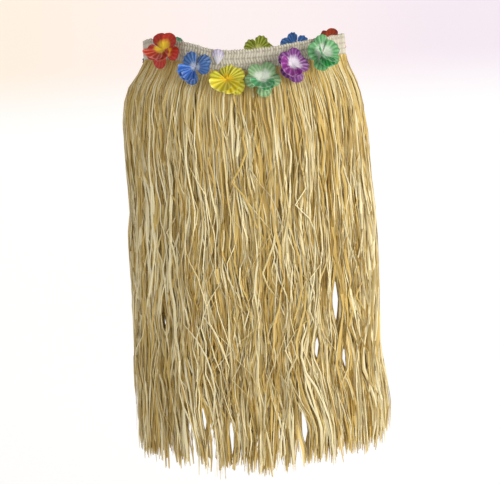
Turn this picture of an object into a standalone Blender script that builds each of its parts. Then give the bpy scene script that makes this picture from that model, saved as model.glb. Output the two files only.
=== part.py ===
"""Grass skirt for an adult, filled out as if worn: a waistband loop, two rings of hanging locks
and a ring of cloth flowers.

Metres, Z up. The origin is the centre of the waist loop at the middle height of the band, and the
front faces -Y. An angle is counted round the loop from the front, positive towards +X.
"""

import math
import random

import bmesh
import bpy
from mathutils import Matrix, Vector

SEED = 7
SEAM_GAP = 0.0004

BAND_HEIGHT = 0.040
BAND_WALL = 0.0020
BAND_BULGE = 0.0009
RIB_COUNT = 96
RIB_RISE = 0.0009
RIB_SCALLOP = 0.0014

BACKING_HEIGHT = 0.005
BACKING_WALL = 0.0028

HEM_LEVEL = -0.757
HEM_SIDE_RISE = 0.014
HEM_RAGGED_UP = 0.020
HEM_RAGGED_DOWN = 0.013

SWAY_WAVES = 5
SWAY_WIDTH = 0.011
SWAY_TWIST = 4.0
FOLD_WAVES = 11
FOLD_DEPTH = 0.004
FOLD_TWIST = 2.0
JITTER_SIDE = 0.0034
JITTER_OUT = 0.0010

PETALS = 5
COLUMNS_PER_PETAL = 4
PETAL_WALL = 0.0012
CALYX_RADIUS = 0.0035
CALYX_STAND_OFF = 0.0006
FACE_STAND_OFF = 0.014
FIX_MARGIN = 0.010

ARC_STEPS = 720

# Level of the band's top edge round the loop: degrees from the front, metres. The first and last
# rows repeat rows of the other side, so that the edge runs on smoothly at the back.
BAND_TOP = (
    (-220, 0.012),
    (-180, 0.003),
    (-162, 0.008),
    (-144, 0.025),
    (-124, 0.033),
    (-104, 0.034),
    (-88, 0.039),
    (-72, 0.046),
    (-56, 0.048),
    (-40, 0.0445),
    (-30, 0.039),
    (-20, 0.029),
    (-12, 0.0245),
    (10, 0.025),
    (40, 0.033),
    (75, 0.035),
    (105, 0.027),
    (140, 0.012),
    (180, 0.003),
    (198, 0.008),
)

# Shape of the hanging locks: metres below their roots, half width, half depth, sideways shift.
PROFILE = (
    (0.000, 0.1880, 0.1165, 0.000),
    (0.015, 0.1960, 0.1235, -0.003),
    (0.035, 0.2075, 0.1330, -0.006),
    (0.060, 0.2165, 0.1400, -0.007),
    (0.090, 0.2225, 0.1450, -0.007),
    (0.130, 0.2250, 0.1475, -0.006),
    (0.200, 0.2256, 0.1490, -0.004),
    (0.260, 0.2268, 0.1505, -0.002),
    (0.330, 0.2322, 0.1540, -0.003),
    (0.450, 0.2326, 0.1575, -0.004),
    (0.560, 0.2328, 0.1600, -0.008),
    (0.620, 0.2368, 0.1630, -0.005),
    (0.680, 0.2415, 0.1660, -0.002),
    (0.780, 0.2400, 0.1670, -0.005),
)

# Rings of locks: node, locks, set-back of the outer face from the profile, phase of the first lock,
# widest share of the room between its neighbours, thickness.
RINGS = (
    ("fringe_outer", 96, 0.0000, 0.00, 0.84, 0.0030),
    ("fringe_inner", 96, 0.0100, 0.50, 0.88, 0.0032),
)

# Sections of one lock: metres below the root, then share of the rest of its length, share of the
# widest width, share of the thickness.
SECTIONS = (
    (0.018, 0.00, 0.92, 0.95),
    (0.055, 0.00, 1.00, 1.00),
    (0.130, 0.00, 1.00, 1.00),
    (0.130, 0.36, 1.00, 1.00),
    (0.130, 0.76, 0.96, 1.00),
    (0.130, 1.00, 0.48, 0.60),
)

# Rings of one petal face: share of the radius, height along the face's axis, height of the ruffle.
FACE_RINGS = (
    (0.30, 0.0030, 0.0000),
    (0.68, 0.0065, 0.0012),
    (1.00, 0.0060, 0.0032),
)

# Radius of the petal outline over the columns of one petal, as a share, and its share of the ruffle.
PETAL_OUTLINE = (
    (0.80, -1.0),
    (1.00, 0.6),
    (0.96, -0.1),
    (1.00, 0.8),
)

# Flowers: node, degrees round the loop, level of the face, degrees the face looks, degrees the face
# tilts up, radius, degrees of spin, colour.
FLOWERS = (
    ("flower_01_red", -48, 0.026, -24, 14, 0.0325, 7, (0.72, 0.06, 0.03)),
    ("flower_02_blue", -27.5, -0.004, -18, 20, 0.0310, 9, (0.06, 0.18, 0.58)),
    ("flower_03_yellow", -10, -0.026, -6, 24, 0.0320, 54, (0.88, 0.68, 0.05)),
    ("flower_04_mint", 8.5, -0.029, 5, 24, 0.0320, 14, (0.18, 0.50, 0.24)),
    ("flower_05_purple", 26.4, -0.008, 18, 20, 0.0310, 36, (0.38, 0.07, 0.44)),
    ("flower_06_green", 47, 0.010, 24, 14, 0.0320, 59, (0.08, 0.44, 0.18)),
    ("flower_07_orange", 124.5, 0.008, 140, 8, 0.0300, 2, (0.80, 0.14, 0.03)),
    ("flower_08_blue", 150, 0.004, 158, 10, 0.0300, 40, (0.05, 0.20, 0.62)),
    ("flower_09_lime", 172, 0.000, 175, 12, 0.0310, 69, (0.45, 0.55, 0.05)),
    ("flower_10_violet", -160, -0.010, -165, 8, 0.0290, 44, (0.45, 0.16, 0.56)),
    ("flower_11_green", -139, 0.004, -148, 12, 0.0300, 62, (0.06, 0.46, 0.22)),
    ("flower_12_plum", -115, 0.006, -128, 8, 0.0255, 12, (0.20, 0.03, 0.24)),
)

# Finishes: material, colour, roughness, metallic.
BAND_FINISH = ("raffia_band", (0.56, 0.46, 0.29), 0.72, 0.0)
LOCK_FINISHES = {
    "fringe_outer": ("raffia_straw", (0.72, 0.55, 0.28), 0.58, 0.0),
    "fringe_inner": ("raffia_shade", (0.50, 0.36, 0.15), 0.68, 0.0),
}
PETAL_ROUGHNESS = 0.55


def clear_scene():
    """Removes every object of the startup scene."""
    for obj in list(bpy.data.objects):
        bpy.data.objects.remove(obj)


def eased(table, key):
    """The table's columns at key, by a smooth curve through its rows; level past either end."""
    last = len(table) - 1
    if key <= table[0][0]:
        return list(table[0][1:])
    if key >= table[last][0]:
        return list(table[last][1:])
    low = max(i for i in range(last) if table[i][0] <= key)
    before, start, end, after = (table[min(max(low + k, 0), last)] for k in (-1, 0, 1, 2))
    span = end[0] - start[0]
    share = (key - start[0]) / span
    values = []
    for column in range(1, len(start)):
        rise_in = (end[column] - before[column]) / (end[0] - before[0]) * span
        rise_out = (after[column] - start[column]) / (after[0] - start[0]) * span
        values.append(
            start[column] * (1 + 2 * share) * (1 - share) ** 2
            + end[column] * share**2 * (3 - 2 * share)
            + rise_in * share * (1 - share) ** 2
            + rise_out * share**2 * (share - 1)
        )
    return values


def band_top(angle):
    """Level of the band's top edge at an angle in radians."""
    turned = (math.degrees(angle) + 180) % 360 - 180
    return eased(BAND_TOP, turned)[0]


def root_level(angle):
    """Level where the locks leave their backing."""
    return band_top(angle) - BAND_HEIGHT - SEAM_GAP - BACKING_HEIGHT


def on_loop(angle, half_width, half_depth, shift, out, level):
    """A point of the loop, out metres outside it and at that level."""
    normal = Vector((math.sin(angle) / half_width, -math.cos(angle) / half_depth, 0)).normalized()
    rim = Vector((shift + half_width * math.sin(angle), -half_depth * math.cos(angle), level))
    return rim + normal * out


def on_band(angle, out, level):
    """A point of the band: out is 0 on its inner face."""
    _, half_width, half_depth, shift = PROFILE[0]
    return on_loop(angle, half_width, half_depth, shift, out - BAND_WALL, level)


def even_angles(count, phase):
    """Angles that part the waist loop into equal lengths, from its front."""
    _, half_width, half_depth, _ = PROFILE[0]
    step = 2 * math.pi / ARC_STEPS
    lengths = [0.0]
    for i in range(ARC_STEPS):
        middle = (i + 0.5) * step
        reach = math.hypot(half_width * math.cos(middle), half_depth * math.sin(middle))
        lengths.append(lengths[-1] + reach * step)
    angles = []
    for k in range(count):
        target = (k + phase) / count * lengths[-1]
        i = max(j for j in range(ARC_STEPS) if lengths[j] <= target)
        angles.append((i + (target - lengths[i]) / (lengths[i + 1] - lengths[i])) * step)
    return angles


def material(name, colour, roughness, metallic):
    """A plain Principled material."""
    made = bpy.data.materials.new(name)
    made.use_nodes = True
    shader = made.node_tree.nodes["Principled BSDF"]
    shader.inputs["Base Color"].default_value = (*colour, 1.0)
    shader.inputs["Roughness"].default_value = roughness
    shader.inputs["Metallic"].default_value = metallic
    made.diffuse_color = (*colour, 1.0)
    return made


def finished(name, mesh, finish, place=None):
    """Makes the mesh an object with its faces pointing out; place moves its origin and axes."""
    bmesh.ops.recalc_face_normals(mesh, faces=mesh.faces)
    data = bpy.data.meshes.new(name)
    mesh.to_mesh(data)
    mesh.free()
    data.materials.append(material(*finish))
    obj = bpy.data.objects.new(name, data)
    if place is not None:
        data.transform(place.inverted())
        obj.location, obj.rotation_euler = place.to_translation(), place.to_euler()
    bpy.context.scene.collection.objects.link(obj)
    return obj


def waistband():
    """A closed loop with raised ribs outside, scalloped along its top, and a plain inside."""
    mesh = bmesh.new()
    angles = even_angles(2 * RIB_COUNT, 0.0)
    levels = ((0.0, 0.0), (0.5, BAND_BULGE), (1.0, 0.0))
    outer = []
    for column, angle in enumerate(angles):
        crest = column % 2
        top = band_top(angle) + (RIB_SCALLOP if crest else 0.0)
        bottom = band_top(angle) - BAND_HEIGHT
        rise = BAND_WALL + (RIB_RISE if crest else 0.0)
        outer.append(
            [
                mesh.verts.new(on_band(angle, rise + bulge, bottom + (top - bottom) * share))
                for share, bulge in levels
            ]
        )
    inner = []
    for angle in angles[::2]:
        top = band_top(angle)
        inner.append([mesh.verts.new(on_band(angle, 0.0, level)) for level in (top - BAND_HEIGHT, top)])
    for rib in range(RIB_COUNT):
        left, crest, right = (outer[(2 * rib + k) % len(outer)] for k in (0, 1, 2))
        near, far = inner[rib], inner[(rib + 1) % RIB_COUNT]
        for row in range(len(levels) - 1):
            mesh.faces.new((left[row], crest[row], crest[row + 1], left[row + 1]))
            mesh.faces.new((crest[row], right[row], right[row + 1], crest[row + 1]))
        mesh.faces.new((near[0], near[1], far[1], far[0]))
        for outside, inside in ((0, 0), (-1, 1)):
            mesh.faces.new((left[outside], crest[outside], near[inside]))
            mesh.faces.new((crest[outside], right[outside], far[inside], near[inside]))
    return finished("waistband", mesh, BAND_FINISH)


def drift(angle, drop):
    """Sideways and outward sway that neighbouring locks share, growing towards the hem."""
    grown = min(drop / -HEM_LEVEL, 1.0)
    side = SWAY_WIDTH * grown * math.sin(SWAY_WAVES * angle + SWAY_TWIST * grown)
    out = FOLD_DEPTH * grown * math.sin(FOLD_WAVES * angle + FOLD_TWIST * grown)
    return side, out


def lock_length(angle, dice):
    """From the root to a ragged hem that rises a little at the sides."""
    hem = HEM_LEVEL + HEM_SIDE_RISE * math.sin(angle) ** 2
    return root_level(angle) - hem + dice.triangular(-HEM_RAGGED_UP, HEM_RAGGED_DOWN, 0.0)


def lock_path(angle, dice):
    """The lock's drop, angle and outward stray at each of its sections."""
    length = lock_length(angle, dice)
    path = []
    for fixed, rest, _, _ in SECTIONS:
        drop = fixed + rest * (length - fixed)
        half_width, half_depth, _ = eased(PROFILE, drop)
        side, fold = drift(angle, drop)
        grown = min(drop / -HEM_LEVEL, 1.0)
        stray = side + dice.uniform(-JITTER_SIDE, JITTER_SIDE) * grown
        reach = math.hypot(half_width * math.cos(angle), half_depth * math.sin(angle))
        path.append((drop, angle + stray / reach, fold + dice.uniform(-JITTER_OUT, JITTER_OUT) * grown))
    return path


def backing_rim(angle, face):
    """Corners of the backing at an angle: outer top, outer bottom, inner bottom, inner top."""
    top = band_top(angle) - BAND_HEIGHT - SEAM_GAP
    bottom = top - BACKING_HEIGHT
    inside = face - BACKING_WALL
    corners = ((face, top), (face, bottom), (inside, bottom), (inside, top))
    return [on_loop(angle, *PROFILE[0][1:], out, level) for out, level in corners]


def fringe(name, count, set_back, phase, share, thickness, dice):
    """Locks that leave a narrow backing ring, each parted from its neighbours down to the hem."""
    mesh = bmesh.new()
    face = RIB_RISE + BACKING_WALL - BAND_WALL - min(set_back, BACKING_WALL + SEAM_GAP)
    angles = even_angles(count, phase)
    paths = [lock_path(angle, dice) for angle in angles]
    half = share * math.pi / count
    rims = [
        [mesh.verts.new(corner) for corner in backing_rim(angle + edge, face)]
        for angle in angles
        for edge in (-half, half)
    ]
    for column, here in enumerate(rims):
        there = rims[(column + 1) % len(rims)]
        for edge in range(4):
            is_lock_root = edge == 1 and column % 2 == 0
            if not is_lock_root:
                following = (edge + 1) % 4
                mesh.faces.new((here[edge], there[edge], there[following], here[following]))
    for k, path in enumerate(paths):
        left, right = rims[2 * k], rims[2 * k + 1]
        above = [left[1], right[1], right[2], left[2]]
        before, after = paths[k - 1], paths[(k + 1) % count]
        for row, (drop, angle, stray) in enumerate(path):
            _, _, wide, thick = SECTIONS[row]
            reach_left = (angle - before[row][1]) % (2 * math.pi) / 2 * share * wide
            reach_right = (after[row][1] - angle) % (2 * math.pi) / 2 * share * wide
            settled = min(drop / SECTIONS[1][0], 1.0)
            outer = face * (1 - settled) - set_back * settled + stray
            inside = outer - thickness * thick
            level = root_level(angle) - drop
            front = [(-reach_left, outer), (reach_right, outer)]
            rear = [(reach_right, inside), (-reach_left, inside)]
            below = [
                mesh.verts.new(on_loop(angle + turn, *eased(PROFILE, drop), out, level))
                for turn, out in front + rear
            ]
            for edge in range(4):
                following = (edge + 1) % 4
                mesh.faces.new((above[edge], above[following], below[following], below[edge]))
            above = below
        mesh.faces.new(above)
    return finished(name, mesh, LOCK_FINISHES[name])


def flower(name, around, level, looks, tilt, radius, spin, colour):
    """Five broad petals on a calyx that starts just off the band's ribs."""
    mesh = bmesh.new()
    angle = math.radians(around)
    top = band_top(angle)
    fix_level = min(max(level, top - BAND_HEIGHT + FIX_MARGIN), top - FIX_MARGIN)
    crest = BAND_WALL + RIB_RISE + BAND_BULGE
    fix = on_band(angle, crest + CALYX_STAND_OFF, fix_level)
    straight_out = (on_band(angle, crest, 0.0) - on_band(angle, 0.0, 0.0)).normalized()
    centre = on_band(angle, crest + FACE_STAND_OFF, level)
    look, up = math.radians(looks), math.radians(tilt)
    axis = Vector((math.sin(look) * math.cos(up), -math.cos(look) * math.cos(up), math.sin(up)))
    across = Vector((math.cos(look), math.sin(look), 0))
    upright = axis.cross(across)
    beside = Vector((-straight_out.y, straight_out.x, 0))
    count = PETALS * COLUMNS_PER_PETAL
    turns = [math.radians(spin) + 2 * math.pi * k / count for k in range(count)]

    def ring(share, height, ruffle, wall):
        made = []
        for k, turn in enumerate(turns):
            outline, wave = PETAL_OUTLINE[k % COLUMNS_PER_PETAL]
            reach = radius * share * (1 + (outline - 1) * share**2)
            spoke = across * math.cos(turn) + upright * math.sin(turn)
            lift = height + ruffle * wave - wall
            made.append(mesh.verts.new(centre + spoke * reach + axis * lift))
        return made

    def joined(first, second):
        for k in range(count):
            following = (k + 1) % count
            mesh.faces.new((first[k], first[following], second[following], second[k]))

    def fan(point, around_it):
        for k in range(count):
            mesh.faces.new((point, around_it[k], around_it[(k + 1) % count]))

    front = [ring(share, height, ruffle, 0.0) for share, height, ruffle in FACE_RINGS]
    back = [ring(share, height, ruffle, PETAL_WALL) for share, height, ruffle in FACE_RINGS]
    spokes = [beside * math.cos(turn) + Vector((0, 0, 1)) * math.sin(turn) for turn in turns]
    foot = [mesh.verts.new(fix + spoke * CALYX_RADIUS) for spoke in spokes]
    fan(mesh.verts.new(centre), front[0])
    joined(front[0], front[1])
    joined(front[1], front[2])
    joined(front[2], back[2])
    joined(back[2], back[1])
    joined(back[1], back[0])
    joined(back[0], foot)
    fan(mesh.verts.new(fix), foot)
    place = Matrix.Translation(centre) @ Matrix((across, upright, axis)).transposed().to_4x4()
    return finished(name, mesh, (name + "_silk", colour, PETAL_ROUGHNESS, 0.0), place)


def main():
    clear_scene()
    dice = random.Random(SEED)
    skirt = bpy.data.objects.new("grass_skirt", None)
    bpy.context.scene.collection.objects.link(skirt)
    pieces = [waistband()]
    pieces += [fringe(*ring, dice) for ring in RINGS]
    pieces += [flower(*row) for row in FLOWERS]
    for piece in pieces:
        piece.parent = skirt


main()
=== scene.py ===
"""Looks of the grass skirt: fine raffia strands, a stitched band and pleated cloth flowers.

Metres, Z up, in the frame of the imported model. An angle is counted round the loop from the front
(-Y), positive towards +X. A drop is counted down from the band's lower edge.
"""

import math

import bmesh
import bpy
import numpy as np
from bpy.props import (
    CollectionProperty,
    FloatProperty,
    FloatVectorProperty,
    IntProperty,
    PointerProperty,
    StringProperty,
)
from mathutils import Matrix, Vector


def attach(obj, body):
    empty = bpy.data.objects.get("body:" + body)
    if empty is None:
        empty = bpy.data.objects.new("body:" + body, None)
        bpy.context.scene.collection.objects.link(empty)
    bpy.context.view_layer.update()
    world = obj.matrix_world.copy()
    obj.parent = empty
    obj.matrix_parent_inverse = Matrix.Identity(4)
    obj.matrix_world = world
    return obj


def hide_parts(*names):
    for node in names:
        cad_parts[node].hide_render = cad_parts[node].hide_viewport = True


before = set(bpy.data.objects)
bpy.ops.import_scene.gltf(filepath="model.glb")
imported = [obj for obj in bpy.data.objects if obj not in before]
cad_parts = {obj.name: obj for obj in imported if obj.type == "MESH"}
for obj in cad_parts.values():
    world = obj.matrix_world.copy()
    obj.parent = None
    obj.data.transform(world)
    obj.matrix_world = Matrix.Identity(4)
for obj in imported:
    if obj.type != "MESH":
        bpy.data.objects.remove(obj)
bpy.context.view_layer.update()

bl_info = {
    "name": "Grass skirt",
    "version": (1, 0, 0),
    "blender": (4, 5, 0),
    "location": "View3D > Sidebar > Grass skirt",
    "description": "Raffia strands, a stitched waistband and pleated cloth flowers",
    "category": "Object",
}

# Shape of the solids that these looks cover.
BAND_HEIGHT = 0.040
OUTSIDE_POINTS = 17
INSIDE_POINTS = 13
BAND_WALL = 0.0020
BAND_BULGE = 0.0009
RIB_RISE = 0.0009
HEM_LEVEL = -0.757
HEM_SIDE_RISE = 0.014
SWAY_WAVES = 5
SWAY_WIDTH = 0.011
SWAY_TWIST = 4.0
FOLD_WAVES = 11
FOLD_DEPTH = 0.004
FOLD_TWIST = 2.0
FACE_STAND_OFF = 0.014
FIX_MARGIN = 0.004

# Waves along a strand: size as a share of the usual, shortest and longest wave in metres.
TUFT_SWAY = (1.7, 0.25, 0.60)
TUFT_BEND = (0.7, 0.10, 0.22)
LONG_SWAY = (1.0, 0.12, 0.28)
SHORT_SWAY = (0.6, 0.06, 0.11)
LIFT_SWAY = (0.6, 0.12, 0.30)
TWIST_WAVE = (0.7, 0.10, 0.30)
WIDTH_WAVE = (0.14, 0.08, 0.25)

# Kinks: share of a strand's lengths that end in one, how much more a stray swings, and how much of
# the way aside, in or out, or round is kept from one length to the next.
KINKED = 0.32
STRAY_SWING = 2.2
SIDE_HOLD = 0.93
LIFT_HOLD = 0.90
TWIST_HOLD = 0.85

# Space between strands of the stock, and the least agreement of two faces without a crease.
STOCK_APART = 4.0
CREASE = 0.8

# How strands hang: metres in which they come free of the band, share of the drop where their ends
# start to draw together and over which they do, and where the tip narrows and to what share.
SETTLING = 0.06
ENDS_FROM = 0.68
ENDS_OVER = 0.25
TIP_FROM = 0.955
TIP_WIDTH = 0.35

# Least and most: way in or out, depth of the root, usual width (and the least anywhere), length
# gone from a broken and from a worn strand, and tones of bright and of other strands.
LIFT_LIMITS = (-0.006, 0.0045)
ROOT_DEPTHS = (0.0002, 0.0022)
WIDTH_LIMITS = (0.0016, 0.0095)
LEAST_WIDTH = 0.001
BROKEN_OFF = (0.02, 0.24)
WORN_OFF = (0.004, 0.060)
BRIGHT_TONES = (0.66, 1.0)
OTHER_TONES = (0.0, 0.60)

# Slits on the far side are longer and wider, and a slit pushes aside what passes this near.
FAR_SLIT_LONGER = 0.02
FAR_SLIT_WIDER = 1.35
SLIT_NEAR = 0.06

# Detail of the band: faces round a rib and along a thread on it, heights of the strand heads at the
# top edge, half height of a stitch's dent, sides of a thread and how far it wavers.
RIB_FACES = 8
THREAD_FACES = 4
HEAD_HEIGHTS = (0.0004, 0.0026)
DENT_HEIGHT = 0.0013
THREAD_SIDES = 4
THREAD_WAVER = 0.0004

# Shape of a petal: share of its length in the throat, powers by which its corners round off, its
# tip curls back and its pleats deepen, and shares by which it wavers.
THROAT = 0.04
CORNER_POWER = 2.6
CURL_POWER = 2.4
PLEAT_POWER = 1.3
SIDE_WAVER = 0.10
RIPPLE = 0.07
LEAN_WAVER = 0.05

# How petals differ: least and most of size and of pleat depth, and usual difference in degrees
# round the face, degrees forward and cup.
SIZE_RANGE = (0.92, 1.06)
DEPTH_RANGE = (0.6, 1.2)
AROUND_SPREAD = 6
FORWARD_SPREAD = 7
CUP_SPREAD = 0.06

# Metres between a flower's petals, and radii of its calyx at the band and at the throat.
PETAL_GAP = 0.0006
CALYX_FOOT = 0.0030
CALYX_THROAT = 0.0046

# The loose petal: degrees it turns in its face, metres from the band, and its pose and waver.
LOOSE_TURN = 84
LOOSE_STAND_OFF = 0.002
LOOSE_POSE = (68, 8, -0.14, 0.10)
LOOSE_WAVER = (0.5, 0.3)

# Level of the band's top edge round the loop: degrees from the front, metres. The first and last
# rows repeat rows of the other side, so that the edge runs on smoothly at the back.
BAND_TOP = (
    (-220, 0.012),
    (-180, 0.003),
    (-162, 0.008),
    (-144, 0.025),
    (-124, 0.033),
    (-104, 0.034),
    (-88, 0.039),
    (-72, 0.046),
    (-56, 0.048),
    (-40, 0.0445),
    (-30, 0.039),
    (-20, 0.029),
    (-12, 0.0245),
    (10, 0.025),
    (40, 0.033),
    (75, 0.035),
    (105, 0.027),
    (140, 0.012),
    (180, 0.003),
    (198, 0.008),
)

# Shape of the hanging strands: drop, half width, half depth, sideways shift.
PROFILE = (
    (0.000, 0.1880, 0.1165, 0.000),
    (0.015, 0.1960, 0.1235, -0.003),
    (0.035, 0.2075, 0.1330, -0.006),
    (0.060, 0.2165, 0.1400, -0.007),
    (0.090, 0.2225, 0.1450, -0.007),
    (0.130, 0.2250, 0.1475, -0.006),
    (0.200, 0.2256, 0.1490, -0.004),
    (0.260, 0.2268, 0.1505, -0.002),
    (0.330, 0.2322, 0.1540, -0.003),
    (0.450, 0.2326, 0.1575, -0.004),
    (0.560, 0.2328, 0.1600, -0.008),
    (0.620, 0.2368, 0.1630, -0.005),
    (0.680, 0.2415, 0.1660, -0.002),
    (0.780, 0.2400, 0.1670, -0.005),
)

# Layers of strands: piece, the solid it covers, material slot, strands, usual width, nearest and
# furthest set-back from the profile, share of bright strands, share of strays, seed. The
# raffia_shade slot gets a lighter copy of the raffia, painted light that lifts the shade between
# the strands; the larger share of pale strands in the outer layers is partly their own paler
# colour and partly painted light on the outermost strands.
LAYERS = (
    ("strands_inner", "fringe_inner", "raffia_shade", 1024, 0.0050, 0.0095, 0.0165, 0.04, 0.05, 3),
    ("strands_middle", "fringe_inner", "raffia_shade", 1024, 0.0048, 0.0050, 0.0105, 0.06, 0.06, 5),
    ("strands_outer", "fringe_outer", "raffia_straw", 1024, 0.0040, 0.0005, 0.0060, 0.20, 0.10, 8),
    ("strands_veil", "fringe_outer", "raffia_straw", 1024, 0.0027, -0.0020, 0.0012, 0.72, 0.26, 13),
)

# Slits where the strands part on both sides, so that light shows through: degrees round the loop
# and drop on the near side, the same on the far side, half length, half width.
PARTINGS = (
    (39.0, 0.445, 136.0, 0.485, 0.060, 0.0090),
    (28.0, 0.525, 148.5, 0.585, 0.042, 0.0072),
    (44.5, 0.560, 132.0, 0.610, 0.036, 0.0078),
    (60.5, 0.575, 116.0, 0.610, 0.036, 0.0074),
    (18.0, 0.670, 159.0, 0.755, 0.046, 0.0074),
    (-48.5, 0.475, -128.0, 0.545, 0.044, 0.0072),
    (-52.5, 0.630, -122.5, 0.705, 0.036, 0.0068),
    (-27.5, 0.650, -149.5, 0.755, 0.036, 0.0064),
    (-15.0, 0.680, -164.0, 0.775, 0.040, 0.0064),
)

# Flowers: node, material slot, degrees round the loop, level of the face, degrees the face looks,
# degrees it tilts up, radius, metres its face leans aside and upwards on the calyx, degrees it
# rolls, degrees round its face of the lip, share of a petal that the throat tints, depth of its
# pleats as a share of the usual, and the colours of throat, petals, pleat beds and lip. The pleat
# beds' colour is painted shade in the valleys, and also darkens the petals' edges and blots; the
# lip's colour is partly its own and partly painted shade.
FLOWERS = (
    ("flower_01_red", "petal_red", -48, 0.026, -24, 14, 0.0355, 0.002, 0.005, 25, 272, 0.54,
     0.3, (0.84, 0.56, 0.02), (0.48, 0.022, 0.005), (0.22, 0.006, 0.004), (0.56, 0.04, 0.004)),
    ("flower_02_blue", "petal_blue", -27.5, -0.004, -18, 20, 0.031, 0.002, 0.001, -38, 226, 0.34,
     0.80, (0.42, 0.46, 0.60), (0.075, 0.18, 0.45), (0.03, 0.09, 0.26), (0.030, 0.16, 0.62)),
    ("flower_03_yellow", "petal_yellow", -10, -0.026, -6, 24, 0.036, 0.0, -0.001, 12, 262, 0.42,
     0.90, (0.84, 0.56, 0.005), (0.74, 0.68, 0.03), (0.38, 0.34, 0.015), (0.82, 0.68, 0.012)),
    ("flower_04_mint", "petal_mint", 8.5, -0.029, 5, 24, 0.0335, -0.001, 0.0, -40, 266, 0.58,
     0.60, (0.66, 0.72, 0.62), (0.29, 0.48, 0.24), (0.14, 0.28, 0.11), (0.08, 0.37, 0.14)),
    ("flower_05_purple", "petal_purple", 26.4, -0.008, 18, 20, 0.0335, -0.005, 0.001, -18, 222, 0.54,
     0.90, (0.68, 0.62, 0.72), (0.255, 0.07, 0.29), (0.11, 0.02, 0.14), (0.27, 0.012, 0.27)),
    ("flower_06_green", "petal_green", 47, 0.01, 24, 14, 0.036, -0.007, -0.002, 5, 236, 0.56,
     0.70, (0.58, 0.66, 0.56), (0.16, 0.43, 0.18), (0.05, 0.21, 0.07), (0.012, 0.28, 0.05)),
    ("flower_07_orange", "petal_orange", 124.5, 0.008, 140, 8, 0.032, 0.002, 0.003, 20, 270, 0.40,
     0.30, (0.80, 0.46, 0.05), (0.52, 0.08, 0.03), (0.30, 0.02, 0.01), (0.60, 0.07, 0.02)),
    ("flower_08_blue", "petal_blue", 150, 0.004, 158, 10, 0.032, 0.0, 0.002, -14, 250, 0.34,
     0.90, (0.46, 0.58, 0.80), (0.10, 0.29, 0.72), (0.03, 0.13, 0.42), (0.04, 0.17, 0.62)),
    ("flower_09_lime", "petal_lime", 172, 0.0, 175, 12, 0.032, 0.002, 0.001, 15, 265, 0.40,
     1.10, (0.72, 0.74, 0.24), (0.54, 0.62, 0.08), (0.24, 0.29, 0.03), (0.44, 0.54, 0.06)),
    ("flower_10_violet", "petal_violet", -160, -0.01, -165, 8, 0.029, 0.012, -0.004, -10, 280, 0.50,
     0.80, (0.78, 0.72, 0.84), (0.34, 0.20, 0.44), (0.17, 0.08, 0.24), (0.22, 0.04, 0.30)),
    ("flower_11_green", "petal_green", -139, 0.004, -148, 12, 0.031, 0.0, 0.005, 8, 255, 0.50,
     0.80, (0.62, 0.72, 0.64), (0.14, 0.36, 0.23), (0.05, 0.19, 0.10), (0.02, 0.26, 0.09)),
    ("flower_12_plum", "petal_plum", -115, 0.006, -128, 8, 0.0255, -0.016, 0.003, 30, 262, 0.30,
     0.80, (0.42, 0.26, 0.42), (0.13, 0.03, 0.12), (0.06, 0.01, 0.05), (0.10, 0.01, 0.12)),
)  # fmt: skip
FLOWER_FIELDS = (
    "name", "slot", "around", "level", "looks", "tilt", "radius", "aside", "above", "roll",
    "lip_around", "reach", "pleated", "throat", "petal", "bed", "lip",
)  # fmt: skip

# A loose petal that hangs over the band's top edge, in the same columns; its lip isn't made.
LOOSE_PETAL = (
    "loose_petal", "petal_violet", -15.5, 0.001, -14, 4, 0.0290, 0.000, 0.000, 0, 0, 0.80, 0.40,
    (0.66, 0.64, 0.72), (0.52, 0.47, 0.62), (0.30, 0.25, 0.38), (0.40, 0.36, 0.50),
)  # fmt: skip

# Petals of one flower: degrees round its face, share of the radius, degrees of spread, degrees it
# stands forward, share its sides come forward, share its tip curls back, and 1 for the lip. Lip
# petals count their degrees from the flower's own lip.
PETALS = (
    (90, 1.00, 72, 10, -0.12, 0.16, 0),
    (18, 1.04, 76, 22, 0.02, 0.28, 0),
    (162, 1.04, 76, 24, 0.02, 0.26, 0),
    (306, 1.00, 72, 14, -0.08, 0.16, 0),
    (234, 1.00, 72, 18, -0.08, 0.16, 0),
    (32, 0.98, 88, 36, 0.18, 0.08, 1),
    (-14, 1.16, 96, 40, 0.28, 0.10, 1),
)

# Colours of the paper behind the skirt, plain low down and tinted towards the top from left to
# right, and the levels and places between which one passes into the next.
WHITE = (0.96, 0.96, 0.96)
PEACH = (0.97, 0.82, 0.71)
ROSE = (0.90, 0.815, 0.815)
LILAC = (0.84, 0.755, 0.83)
WHITE_TO_TINT = (-0.80, -0.42)
PEACH_TO_ROSE = (-1.4, 0.1)
ROSE_TO_LILAC = (0.1, 1.3)

# The paper: metres flat, radius of its bend, metres upright, and metres to each side and in front.
PAPER_FLAT = 12.0
PAPER_BEND = 2.0
PAPER_TALL = 5.0
PAPER_REACH = 8.0

# Lamps: name, the stage's value for its power, place, point it faces, size, colour.
LAMPS = (
    ("key_light", "key", (3.8, -2.75, 0.1), (0.0, 0.0, -0.55), 3.4, (1.0, 0.97, 0.88)),
    ("fill_light", "fill", (-2.6, -3.6, 1.0), (0.0, 0.0, -0.4), 2.4, (0.90, 0.95, 1.0)),
)
CAMERA_PLACE = (-0.010, -2.8, 0.238)
CAMERA_PITCH = 11.9
CAMERA_ROLL = 3.3


def eased(table, key):
    """The table's columns at key, by a smooth curve through its rows and level past its ends."""
    last = len(table) - 1
    if key <= table[0][0]:
        return list(table[0][1:])
    if key >= table[last][0]:
        return list(table[last][1:])
    low = max(i for i in range(last) if table[i][0] <= key)
    before, start, end, after = (table[min(max(low + k, 0), last)] for k in (-1, 0, 1, 2))
    span = end[0] - start[0]
    share = (key - start[0]) / span
    values = []
    for column in range(1, len(start)):
        rise_in = (end[column] - before[column]) / (end[0] - before[0]) * span
        rise_out = (after[column] - start[column]) / (after[0] - start[0]) * span
        values.append(
            start[column] * (1 + 2 * share) * (1 - share) ** 2
            + end[column] * share**2 * (3 - 2 * share)
            + rise_in * share * (1 - share) ** 2
            + rise_out * share**2 * (share - 1)
        )
    return values


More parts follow.
